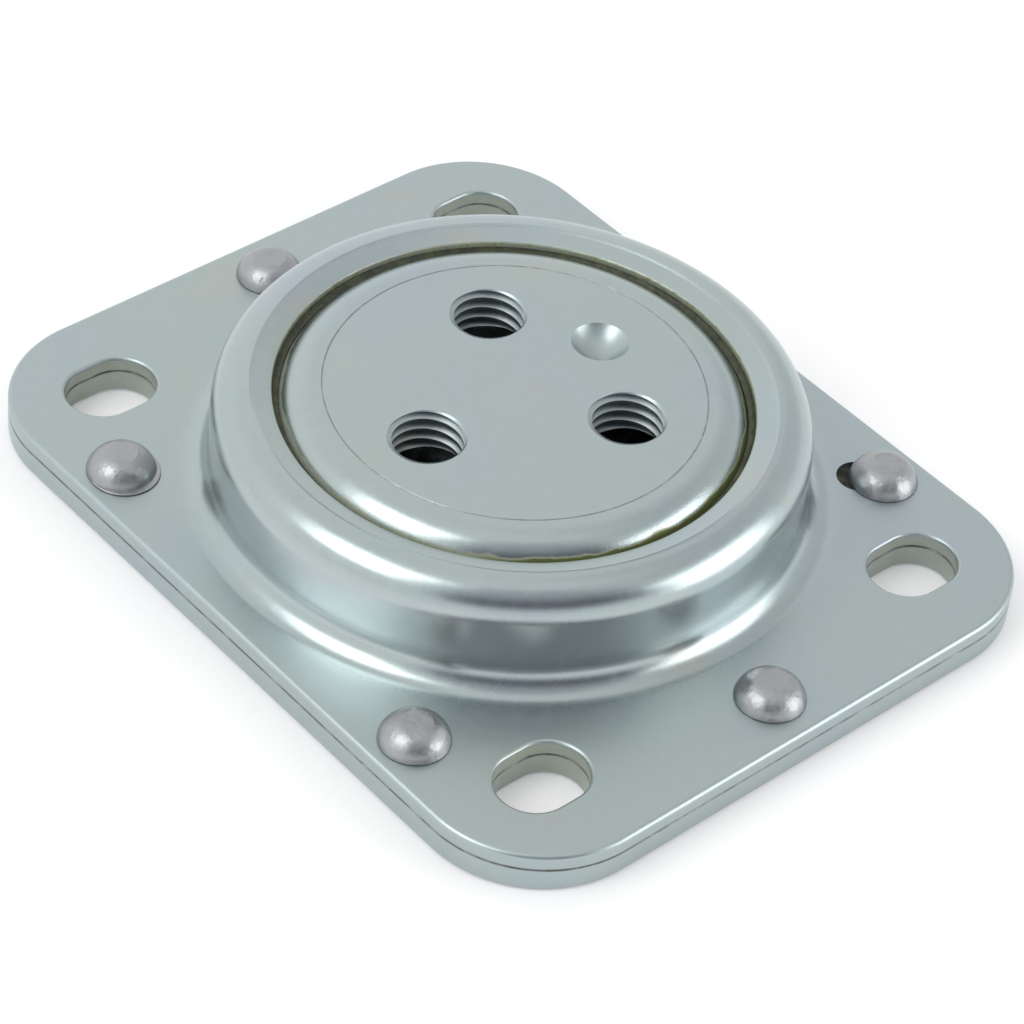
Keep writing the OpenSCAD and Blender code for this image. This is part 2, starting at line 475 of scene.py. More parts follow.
@dataclass
class Plate:
    """A flat plate with round corners, made as a slab."""

    length: float = 105.0
    width: float = 85.0
    corner: float = 15.0
    corner_steps: int = 30
    slot_steps: int = 64

    def slab(self, name: str, low: float, high: float) -> Object:
        """The plate's plain slab with round corners.

        Args:
            name: Name of the object.
            low: Height of the lower face in mm.
            high: Height of the upper face in mm.

        Returns:
            The slab, in object mode.
        """
        Bench.clear()
        bpy.ops.mesh.primitive_plane_add(size=1, location=(0, 0, low))
        obj = Bench.settle(Bench.name(bpy.context.object, name))
        bpy.ops.object.mode_set(mode="EDIT")
        bpy.ops.mesh.select_all(action="SELECT")
        bpy.ops.transform.resize(value=(self.width, self.length, 1))
        bpy.ops.mesh.bevel(
            offset=self.corner, offset_type="OFFSET", segments=self.corner_steps, profile=0.5,
            affect="VERTICES", clamp_overlap=False,
        )
        Bench.raise_up(high - low)
        return obj


@dataclass
class UpperPlate(Plate):
    """The pressed upper plate with its dome, bore, slots and rivet holes."""

    low: float = 3.0
    high: float = 5.0
    rim_round: float = 0.6
    low_break: float = 0.15
    slot_round: float = 0.45
    wall_r: float = 35.6
    wall_in: float = 0.12
    root: float = 3.3
    foot_near: float = 0.01
    shoulder: float = 4.2
    ring_z: float = 18.5
    ring_r: float = 31.2
    ring_fall: float = 0.95
    crest: float = 0.14
    crest_start: float = 78.0
    crest_over: float = 0.02
    step_in: float = 0.46
    step_lean: float = 31.0
    step_foot: float = 0.01
    step_toe: Point = (0.08, 0.03)
    bore_r: float = 28.5
    lip: float = 0.3
    fall_in: float = 0.4
    bore_break: float = 0.1
    hole_r: float = 2.6
    long_at: int = 4
    long_run: float = 3.1
    steps: int = 192
    slots: SlotPattern = SlotPattern()
    rivets: RivetPattern = RivetPattern()

    def dome_section(self) -> list[Point]:
        """The dome's section from the foot over the ring and the lip to the foot inside.

        Returns:
            The section's points, as radius and height in mm.
        """
        sheet = self.high - self.low
        foot = self.wall_r + self.root
        root_z = self.high + self.root
        top_z = self.ring_z - self.crest_over
        inner_r, inner_z = self.wall_r - sheet, self.ring_z - sheet
        cup = self.shoulder - sheet
        lean = math.degrees(math.atan(self.ring_fall / (self.ring_r - self.bore_r)))
        step_r = self.ring_r - self.step_in
        step_z = self.ring_z - self.step_in * math.tan(math.radians(self.step_lean))
        fall_r = self.bore_r + self.lip + self.fall_in
        lip_z = self.fall_z(self.bore_r + self.lip) - self.lip / math.cos(math.radians(lean))
        return [
            *arc((foot, root_z), self.root, 270, 180, 18),
            (self.wall_r, root_z + self.wall_in),
            (self.wall_r, top_z - self.shoulder - self.wall_in),
            *arc((self.wall_r - self.shoulder, top_z - self.shoulder), self.shoulder, 0, 90, 26),
            *arc((self.ring_r, self.ring_z - self.crest), self.crest, self.crest_start, 90 + self.step_lean, 6),
            (step_r, step_z + self.step_foot),
            (step_r - self.step_toe[0], step_z - self.step_toe[1]),
            (fall_r, self.fall_z(fall_r)),
            *arc((self.bore_r + self.lip, lip_z), self.lip, 90 + lean, 180, 8),
            (self.bore_r, inner_z + self.bore_break),
            (self.bore_r + self.bore_break, inner_z),
            *arc((inner_r - cup, inner_z - cup), cup, 90, 0, 8),
            *arc((foot, root_z), self.root + sheet, 180, 270, 12),
        ]

    def fall_z(self, radius: float) -> float:
        """Height of the coined ring's falling face at a radius."""
        return self.ring_z - self.ring_fall * (self.ring_r - radius) / (self.ring_r - self.bore_r)

    def build(self) -> Object:
        """Makes the plate: a slab with its holes, and the turned dome joined to it.

        Returns:
            The finished plate.
        """
        obj = self.slab("upper_plate_pressed", self.low, self.high)
        Bench.bevel(obj, lambda p: p.z > self.high - HAIR, self.rim_round, 6)
        Bench.bevel(obj, lambda p: p.z < self.low + HAIR, self.low_break, 2)
        low, high = self.low - OVER, self.high + OVER
        hub = Bench.cylinder(self.wall_r + self.root, low - OVER, high + OVER, (0, 0), self.steps)
        holes = self.rivets.tool(low, high, self.hole_r, self.long_at, self.long_run)
        Bench.cut(obj, [self.slots.tool(low, high, self.slot_steps), holes, hub])
        Bench.bevel(obj, lambda p: p.z > self.high - HAIR and self.slots.near(p), self.slot_round, 5)
        Bench.bevel(obj, lambda p: p.z < self.low + HAIR and self.slots.near(p), self.low_break, 2)
        self.open_foot(obj)
        Bench.join(obj, [Bench.turn("dome", self.dome_section(), self.steps)])
        return Bench.finish(obj)

    def open_foot(self, obj: Object) -> None:
        """Takes the wall out of the slab's round hole and leaves only the dome's own points on its rims.

        Args:
            obj: The slab with its holes.
        """
        foot = self.wall_r + self.root
        Bench.edit(obj)
        Bench.pick(obj, "FACE", lambda p: abs(math.hypot(p.x, p.y) - foot) < self.foot_near)
        bpy.ops.mesh.delete(type="FACE")
        step = 2 * math.pi / self.steps
        strays = [
            v.co.copy()
            for v in bmesh.from_edit_mesh(obj.data).verts
            if abs(v.co.xy.length - foot) < self.foot_near
            and abs(math.remainder(math.atan2(v.co.y, v.co.x), step)) * foot > HAIR
        ]
        for place in strays:
            turn = round(math.atan2(place.y, place.x) / step) * step
            goal = Vector((foot * math.cos(turn), foot * math.sin(turn), place.z))
            Bench.shift(obj, lambda p, q=place: (p - q).length < HAIR / 4, goal - place)
        Bench.leave()


@dataclass
class BasePlate(Plate):
    """The flat base plate with its slots, countersunk rivet holes and ball race."""

    low: float = 0.0
    high: float = 3.0
    edge_break: float = 0.2
    hole_r: float = 2.6
    sink_r: float = 4.2
    race_r: float = 24.2
    race_z: float = 5.06
    race_tube: float = 3.06
    slots: SlotPattern = SlotPattern()
    rivets: RivetPattern = RivetPattern()

    def countersinks(self) -> Object:
        """A cutter for the six countersunk rivet holes.

        Returns:
            The cutter, one closed shape for each hole.
        """
        section = [
            (0.0, self.low - OVER),
            (self.sink_r + OVER, self.low - OVER),
            (self.hole_r, self.low + self.sink_r - self.hole_r),
            (self.hole_r, self.high + OVER),
            (0.0, self.high + OVER),
        ]
        steps, centres = self.rivets.steps, self.rivets.centres()
        parts = [Bench.settle(Bench.turn("countersink", section, steps), (cx, cy, 0)) for cx, cy in centres]
        return Bench.join(parts[0], parts[1:])

    def build(self) -> Object:
        """Makes the plate: a slab with its edges broken, its holes and its race.

        Returns:
            The finished plate.
        """
        obj = self.slab("base_plate_flat", self.low, self.high)
        Bench.bevel(obj, lambda p: p.z > self.high - HAIR or p.z < self.low + HAIR, self.edge_break, 3)
        Bench.clear()
        bpy.ops.mesh.primitive_torus_add(
            major_radius=self.race_r, minor_radius=self.race_tube, major_segments=96, minor_segments=32,
            location=(0, 0, self.race_z),
        )
        race = Bench.settle(bpy.context.object)
        slots = self.slots.tool(self.low - OVER, self.high + OVER, self.slot_steps)
        Bench.cut(obj, [slots, self.countersinks(), race])
        for z in (self.low, self.high):
            Bench.bevel(obj, lambda p, h=z: abs(p.z - h) < HAIR and self.slots.near(p), self.edge_break, 3)
        return Bench.finish(obj)


@dataclass(frozen=True)
class Thread:
    """A tapped thread: its helical groove, as the tap that cuts it."""

    core_r: float = 4.25
    outer_r: float = 5.0
    pitch: float = 1.5
    crest: float = 0.45
    valley: float = 0.19
    steps: int = 64

    def tap(self, low: float, high: float, start: float) -> Object:
        """The tap, standing on the Z axis.

        Args:
            low: Height of its lower end in mm.
            high: Height of its upper end in mm.
            start: Turn of the helix about the axis in degrees.

        Returns:
            The tap as one closed shape, in object mode.
        """
        flank = (self.pitch - self.crest - self.valley) / 2
        first = low - 2 * self.pitch
        section = [
            (self.core_r, first),
            (self.core_r, first + self.crest),
            (self.outer_r, first + self.crest + flank),
            (self.outer_r, first + self.crest + flank + self.valley),
            (self.core_r, first + self.pitch),
        ]
        obj = Bench.draw("tap", section)
        Bench.leave()
        Bench.apply(
            obj, "SCREW", axis="Z", angle=2 * math.pi, steps=self.steps, render_steps=self.steps,
            screw_offset=self.pitch, iterations=math.ceil((high - low) / self.pitch) + 4,
            use_merge_vertices=True, merge_threshold=HAIR,
        )
        Bench.edit(obj)
        Bench.close_up()
        for height, up in ((high, 1), (low, -1)):
            bpy.ops.mesh.select_all(action="SELECT")
            bpy.ops.mesh.bisect(plane_co=(0, 0, height), plane_no=(0, 0, up), use_fill=True, clear_outer=True)
        Bench.close_up()
        Bench.leave()
        obj.rotation_euler = (0, 0, math.radians(start))
        return Bench.settle(obj)


@dataclass
class Rotor:
    """The rotor: faced top with a scribed circle, three tapped holes and a dimple, and two races below."""

    radius: float = 28.1
    top_z: float = 18.6
    edge: float = 4.3
    face_z: float = 13.1
    scribe_r: float = 22.7
    scribe_w: float = 0.22
    scribe_d: float = 0.07
    flange_r: float = 33.0
    flange_z: float = 6.4
    flange_break: float = 0.5
    hollow_r: float = 19.5
    hollow_round: float = 2.0
    upper_race: Point = (30.04, 12.94)
    upper_tube: float = 3.56
    lower_race: Point = (24.2, 5.06)
    lower_tube: float = 3.06
    pitch_r: float = 13.8
    hole_turn: tuple[float, ...] = (62.5, 182.5, 302.5)
    thread_turn: float = 300.0
    mouth_r: float = 4.55
    dimple_turn: float = 2.5
    dimple_r: float = 3.5
    dimple_angle: float = 84.0
    dimple_steps: int = 96
    crease: float = 25.0
    steps: int = 192
    thread: Thread = Thread()

    def section(self) -> list[Point]:
        """The section from the scribed line over the edge and the flange to the hollow.

        Returns:
            The section's points, as radius and height in mm.
        """
        (ur, _), (_, lz) = self.upper_race, self.lower_race
        edge_end, race_start = self.meet()
        edge_turn = 360 - math.degrees(math.acos((self.flange_r - ur) / self.upper_tube))
        low_turn = math.degrees(math.asin((self.flange_z - lz) / self.lower_tube))
        half = self.scribe_w / 2
        return [
            (self.scribe_r - half, self.top_z),
            (self.scribe_r, self.top_z - self.scribe_d),
            (self.scribe_r + half, self.top_z),
            *arc((self.radius - self.edge, self.top_z - self.edge), self.edge, 90, edge_end, 26),
            *arc(self.upper_race, self.upper_tube, race_start, edge_turn, 24)[1:],
            (self.flange_r, self.flange_z + self.flange_break),
            (self.flange_r - self.flange_break, self.flange_z),
            *arc(self.lower_race, self.lower_tube, low_turn, 180 - low_turn, 14),
            (self.hollow_r, self.flange_z),
            *arc(
                (self.hollow_r - self.hollow_round, self.face_z - self.hollow_round), self.hollow_round, 0, 90, 6
            ),
        ]

    def meet(self) -> Point:
        """Where the rounded edge runs out into the upper race.

        Returns:
            The angle of that point in degrees on the edge's arc, and on the race's.
        """
        centre = Vector((self.radius - self.edge, self.top_z - self.edge))
        across = Vector(self.upper_race) - centre
        along = (across.length_squared + self.edge**2 - self.upper_tube**2) / (2 * across.length)
        side = math.sqrt(self.edge**2 - along**2)
        place = centre + across.normalized() * along + Vector((-across.y, across.x)).normalized() * side
        on_edge, on_race = place - centre, place - Vector(self.upper_race)
        return math.degrees(math.atan2(on_edge.y, on_edge.x)), math.degrees(math.atan2(on_race.y, on_race.x))

    def spot(self, turn: float) -> tuple[float, float, float]:
        """Place on the holes' pitch circle at a turn in degrees."""
        a = math.radians(turn)
        return self.pitch_r * math.cos(a), self.pitch_r * math.sin(a), 0.0

    def taps(self) -> list[Object]:
        """The three taps with the cones that break their mouths, each at its hole.

        Returns:
            The cutters: a tap and a cone for each hole.
        """
        depth = self.mouth_r - self.thread.core_r
        cone = [
            (0.0, self.top_z - 2 * depth),
            (self.thread.core_r - depth, self.top_z - 2 * depth),
            (self.mouth_r + OVER, self.top_z + OVER),
            (0.0, self.top_z + OVER),
        ]
        tools = []
        for turn in self.hole_turn:
            tap = self.thread.tap(self.face_z - OVER, self.top_z + OVER, self.thread_turn)
            mouth = Bench.turn("mouth", cone, self.thread.steps)
            tools += [Bench.settle(tool, self.spot(turn)) for tool in (tap, mouth)]
        return tools

    def dimple(self) -> Object:
        """The drill point that makes the dimple.

        Returns:
            The cutter.
        """
        slope = math.tan(math.radians(self.dimple_angle / 2))
        tip = self.top_z - self.dimple_r / slope
        section = [(0.0, tip), (self.dimple_r + slope * OVER, self.top_z + OVER), (0.0, self.top_z + OVER)]
        return Bench.settle(Bench.turn("drill", section, self.dimple_steps), self.spot(self.dimple_turn))

    def build(self) -> Object:
        """Makes the rotor: turned, closed with its two discs, drilled and tapped.

        Returns:
            The finished rotor.
        """
        obj = Bench.turn("rotor_tapped", self.section(), self.steps)
        Bench.edit(obj)
        for radius, height in ((self.scribe_r, self.top_z), (self.hollow_r, self.face_z)):
            Bench.pick(obj, "VERT", lambda p, r=radius, z=height: abs(p.z - z) < HAIR and p.xy.length < r)
            bpy.ops.mesh.edge_face_add()
        Bench.close_up()
        Bench.leave()
        Bench.cut(obj, [*self.taps(), self.dimple()])
        return Bench.finish(obj, self.crease)


@dataclass
class Rivets:
    """The six rivets, modelled once and copied, each head snapped a little differently."""

    head_r: float = 4.2
    head_h: float = 2.6
    rim_h: float = 0.15
    bend: float = 3.277
    bend_turns: Point = (13.0, 76.0)
    flat_off: float = 0.22
    flat_deep: float = 0.05
    seat_break: float = 0.08
    seat_z: float = 5.0
    shank_r: float = 2.5
    closing_r: float = 4.0
    closing_z: float = 0.1
    flash_at: int = 4
    flash_r: float = 4.3
    flash_h: float = 0.24
    flash_out: float = 0.62
    flash_round: float = 0.12
    flash_gap: float = 0.01
    turn_each: float = 47.0
    crease: float = 12.0
    steps: int = 64
    pattern: RivetPattern = RivetPattern()

    def section(self) -> list[Point]:
        """The section from the closing head to the middle of the snapped head.

        Returns:
            The section's points, as radius and height in mm.
        """
        top = self.seat_z + self.head_h
        first, last = (math.radians(turn) for turn in self.bend_turns)
        centre = (self.head_r - self.bend * math.cos(first), top - self.bend * math.sin(last))
        return [
            (0.0, self.closing_z),
            (self.closing_r, self.closing_z),
            (self.shank_r, self.closing_z + self.closing_r - self.shank_r),
            (self.shank_r, self.seat_z),
            (self.head_r - self.seat_break, self.seat_z),
            (self.head_r, self.seat_z + self.rim_h / 2),
            *arc(centre, self.bend, *self.bend_turns, 14),
            (0.0, top),
        ]

    def build(self) -> list[Object]:
        """Makes the rivets, in the order of their nodes.

        Returns:
            The finished rivets.
        """
        first = Bench.turn("rivet_head", self.section(), self.steps)
        flat_z = self.seat_z + self.head_h - self.flat_deep
        made = []
        for index, (cx, cy) in enumerate(self.pattern.centres(), 1):
            Bench.take(first)
            bpy.ops.object.duplicate()
            rivet = Bench.name(bpy.context.object, f"rivet_head_{index}")
            rivet.rotation_euler = (0, 0, math.radians(self.turn_each * index))
            Bench.edit(rivet)
            Bench.shift(rivet, lambda p: p.z > flat_z and p.xy.length > HAIR, (self.flat_off, 0, 0))
            Bench.leave()
            rivet.location = (cx, cy, 0)
            if index == self.flash_at:
                Bench.join(Bench.settle(rivet), [self.flash((cx, cy - self.flash_out, 0))])
            made.append(Bench.finish(rivet, self.crease))
        bpy.data.objects.remove(first)
        return made

    def flash(self, place: tuple[float, float, float]) -> Object:
        """The thin brim that the snap squeezed out beside one head.

        Args:
            place: Where its middle lies, in mm.

        Returns:
            The brim, in object mode.
        """
        top = self.seat_z + self.flash_h
        section = [
            (0.0, self.seat_z + self.flash_gap),
            (self.flash_r - self.flash_round / 2, self.seat_z + self.flash_gap),
            *arc((self.flash_r - self.flash_round, top - self.flash_round), self.flash_round, -20, 90, 6),
            (0.0, top),
        ]
        return Bench.settle(Bench.turn("flash", section, self.steps), place)


@dataclass
class Grease:
    """The grease that stands in the gap between the rotor and the bore, with an uneven top."""

    section: tuple[Point, ...] = (
        (27.7, 16.34),
        (27.88, 15.86),
        (28.46, 16.16),
        (28.46, 16.9),
        (28.3, 16.6),
        (28.05, 16.42),
        (27.86, 16.4),
        (27.7, 16.34),
    )
    loose_z: float = 16.38
    loose_r: Point = (27.8, 28.4)
    unevenness: float = 0.1
    crease: float = 60.0
    steps: int = 240

    def build(self) -> Object:
        """Makes the ring of grease, with its upper points pushed about a little.

        Returns:
            The finished ring.
        """
        obj = Bench.turn("grease_ring", self.section, self.steps)
        inner, outer = self.loose_r
        Bench.roughen(obj, lambda p: p.z > self.loose_z and inner < p.xy.length < outer, self.unevenness, 0.2, 4)
        return Bench.finish(obj, self.crease)


@dataclass
class PackedDirt:
    """The dirt packed in the free end of the rivet hole that was punched long."""

    hole_r: float = 2.57
    shank_r: float = 2.56
    low: float = 3.03
    high: float = 4.35
    run: float = 3.1
    at: int = 4
    sag: float = 0.35
    unevenness: float = 0.12
    crease: float = 60.0
    steps: int = 40
    shank_steps: int = 64
    pattern: RivetPattern = RivetPattern()

    def build(self) -> Object:
        """Makes the plug of dirt, hollowed where the rivet's shank stands.

        Returns:
            The finished plug.
        """
        floor = self.high - self.sag
        section = [
            (0.0, self.low),
            (self.hole_r, self.low),
            (self.hole_r, self.high),
            *((self.hole_r * share, self.high - self.sag * (1 - share)) for share in (0.85, 0.65, 0.45, 0.25)),
            (0.0, floor),
        ]
        obj = Bench.turn("packed_dirt", section, self.steps)
        loose_z, loose_r = self.low + 0.5, self.hole_r - 0.1
        Bench.roughen(obj, lambda p: p.z > loose_z and p.xy.length < loose_r, self.unevenness, 0.3, 7)
        cx, cy = self.pattern.centres()[self.at]
        away = self.run * DIAGONAL
        Bench.settle(obj, (cx - away, cy + away, 0))
        Bench.cut(obj, [Bench.cylinder(self.shank_r, self.low - 2, self.low + 4, (cx, cy), self.shank_steps)])
        return Bench.finish(obj, self.crease)


class Wire:
    """A socket in a node tree, on which Python's operators add Math nodes."""

    def __init__(self, board: Board, link: NodeSocket) -> None:
        """Wraps an output socket of a board's node."""
        self.board = board
        self.link = link

    def math(self, operation: str, *others: Wire | float, first: float | None = None) -> Wire:
        """Adds a Math node.

        Args:
            operation: The node's operation.
            others: Values or wires for the inputs after this one.
            first: A number that takes this wire's place as the first input, which then comes second.

        Returns:
            The node's value.
        """
        inputs = [self, *others] if first is None else [first, self, *others]
        return self.board.node("ShaderNodeMath", {"operation": operation}, dict(enumerate(inputs)))

    def __add__(self, other: Wire | float) -> Wire:
        """This plus other."""
        return self.math("ADD", other)

    def __radd__(self, other: float) -> Wire:
        """Other plus this."""
        return self.math("ADD", other)

    def __sub__(self, other: Wire | float) -> Wire:
        """This less other."""
        return self.math("SUBTRACT", other)

    def __rsub__(self, other: float) -> Wire:
        """Other less this."""
        return self.math("SUBTRACT", first=other)

    def __mul__(self, other: Wire | float) -> Wire:
        """This times other."""
        return self.math("MULTIPLY", other)

    def __rmul__(self, other: float) -> Wire:
        """Other times this."""
        return self.math("MULTIPLY", other)

    def __truediv__(self, other: Wire | float) -> Wire:
        """This over other."""
        return self.math("DIVIDE", other)

    def __pow__(self, other: Wire | float) -> Wire:
        """This to the power of other."""
        return self.math("POWER", other)

    def step(self, low: float, high: float) -> Wire:
        """Rises smoothly from 0 to 1, or falls where low is the larger.

        Args:
            low: Where it is 0.
            high: Where it is 1.

        Returns:
            The share between them.
        """
        if low > high:
            return 1.0 - self.step(high, low)
        settings = {"interpolation_type": "SMOOTHSTEP"}
        values = {"Value": self, "From Min": low, "From Max": high, "To Min": 0.0, "To Max": 1.0}
        return self.board.node("ShaderNodeMapRange", settings, values, "Result")


Value = Wire | float | tuple[float, ...]


@dataclass(frozen=True)
class Patches:
    """Soft noise: size of its largest patches in mm, how many finer layers, their strength, and a shift."""

    size: float
    layers: float
    rough: float
    shift: float


@dataclass(frozen=True)
class Scratches:
    """Fine scratches: their way in degrees from X, length and gap in mm, share of the surface, and a shift."""

    way: float
    length: float
    gap: float
    share: float
    shift: float


class Board:
    """The node tree of one material or of the world, emptied before it is laid out."""

    def __init__(self, owner: Material | World) -> None:
        """Opens the owner's tree and takes its nodes out.

        Args:
            owner: The material or the world.
        """
        owner.use_nodes = True
        self.tree = owner.node_tree
        self.tree.nodes.clear()

    def node(
        self, kind: str, settings: dict[str, object], values: dict[str | int, Value], output: str | int = 0
    ) -> Wire:
        """Adds a node.

        Args:
            kind: The node's type.
            settings: Its settings, which are set first.
            values: Values or wires for its sockets, by name or number.
            output: The output that is wanted, by name or number.

        Returns:
            That output.
        """
        node = self.tree.nodes.new(kind)
        for key, value in settings.items():
            setattr(node, key, value)
        for key, value in values.items():
            if isinstance(value, Wire):
                self.tree.links.new(value.link, node.inputs[key])
            elif isinstance(value, tuple) and len(value) == 3 and node.inputs[key].type == "RGBA":
                node.inputs[key].default_value = (*value, 1.0)
            else:
                node.inputs[key].default_value = value
        return Wire(self, node.outputs[output]) if node.outputs else Wire(self, None)

    def split(self, vector: Wire) -> tuple[Wire, Wire, Wire]:
        """The three parts of a vector."""
        node = self.node("ShaderNodeSeparateXYZ", {}, {0: vector}).link.node
        return tuple(Wire(self, node.outputs[k]) for k in range(3))

    def grey(self, level: Wire) -> Wire:
        """A grey of one level."""
        return self.node("ShaderNodeCombineColor", {}, {0: level, 1: level, 2: level})

    def mix(self, factor: Value, a: Value, b: Value, way: str = "MIX") -> Wire:
        """Mixes two colours.

        Args:
            factor: Share of the second colour.
            a: The first colour.
            b: The second colour.
            way: How they are blended.

        Returns:
            The mixed colour.
        """
        node = self.tree.nodes.new("ShaderNodeMix")
        node.data_type, node.blend_type = "RGBA", way
        for socket, value in ((node.inputs[0], factor), (node.inputs[6], a), (node.inputs[7], b)):
            if isinstance(value, Wire):
                self.tree.links.new(value.link, socket)
            else:
                socket.default_value = (*value, 1.0) if isinstance(value, tuple) else value
        return Wire(self, node.outputs[2])


class Coat(Board):
    """The node tree of a finish, which reads the place on its piece in mm."""

    def __init__(self, name: str) -> None:
        """Makes the material and reads the place from Object coordinates.

        Args:
            name: The material's name.
        """
        self.material = bpy.data.materials.new(name)
        super().__init__(self.material)
        coords = self.node("ShaderNodeTexCoord", {}, {}, "Object")
        self.place = self.node("ShaderNodeVectorMath", {"operation": "SCALE"}, {0: coords, "Scale": 1 / MM})

    @cached_property
    def parts(self) -> tuple[Wire, Wire, Wire]:
        """The place's X, Y and Z."""
        return self.split(self.place)

    @cached_property
    def radius(self) -> Wire:
        """The place's distance from the swivel axis."""
        x, y, _ = self.parts
        return (x * x + y * y) ** 0.5

    def noise(self, kind: Patches) -> Wire:
        """Soft noise over the piece.

        Args:
            kind: How coarse and strong it is.

        Returns:
            The noise, from 0 to 1.
        """
        shift = (kind.shift, kind.shift * 1.7, kind.shift * 0.6)
        moved = self.node("ShaderNodeVectorMath", {"operation": "ADD"}, {0: self.place, 1: shift})
        values = {"Vector": moved, "Scale": 1 / kind.size, "Detail": kind.layers, "Roughness": kind.rough}
        return self.node("ShaderNodeTexNoise", {}, values, "Fac")

    def scratches(self, kind: Scratches) -> Wire:
        """Fine scratches that run one way.

        Args:
            kind: How they run.

        Returns:
            1 in a scratch and 0 beside it.
        """
        values = {
            "Vector": self.place,
            "Location": (kind.shift, kind.shift * 0.7, 0.0),
            "Rotation": (0.0, 0.0, math.radians(kind.way)),
            "Scale": (1 / kind.length, 1 / kind.gap, 1 / kind.length),
        }
        laid = self.node("ShaderNodeMapping", {}, values)
        line = self.node("ShaderNodeTexNoise", {}, {"Vector": laid, "Scale": 1.0, "Detail": 1.0}, "Fac")
        edge = 0.5 + (1 - kind.share) * 0.31
        return line.step(edge, edge + 0.03)

    def bump(self, height: Wire, depth: float, strength: float, normal: Wire | None = None) -> Wire:
        """A Bump node.

        Args:
            height: Height from 0 to 1.
            depth: Depth of a full step in mm.
            strength: Strength from 0 to 1.
            normal: A bump below this one.

        Returns:
            The bumped normal.
        """
        values: dict[str | int, Value] = {"Height": height, "Distance": depth * MM, "Strength": strength}
        if normal:
            values["Normal"] = normal
        return self.node("ShaderNodeBump", {}, values, "Normal")

    def surface(self, **values: Value) -> Material:
        """Ends the coat in a Principled surface.

        Args:
            values: Values or wires for the surface's sockets, by name.

        Returns:
            The finished material.
        """
        named = {key.replace("_", " ").title(): value for key, value in values.items()}
        shader = self.node("ShaderNodeBsdfPrincipled", {}, named, "BSDF")
        self.node("ShaderNodeOutputMaterial", {}, {"Surface": shader})
        return self.material


def tone(red: int, green: int, blue: int) -> tuple[float, float, float]:
    """Turns a screen colour, from 0 to 255, into the linear colour that shaders take."""
    levels = (c / 255 for c in (red, green, blue))
    return tuple(c / 12.92 if c <= 0.04045 else ((c + 0.055) / 1.055) ** 2.4 for c in levels)


class Where(Enum):
    """Which piece a zinc finish lies on, as its stains differ."""

    UPPER = "upper"
    BASE = "base"
    ROTOR = "rotor"


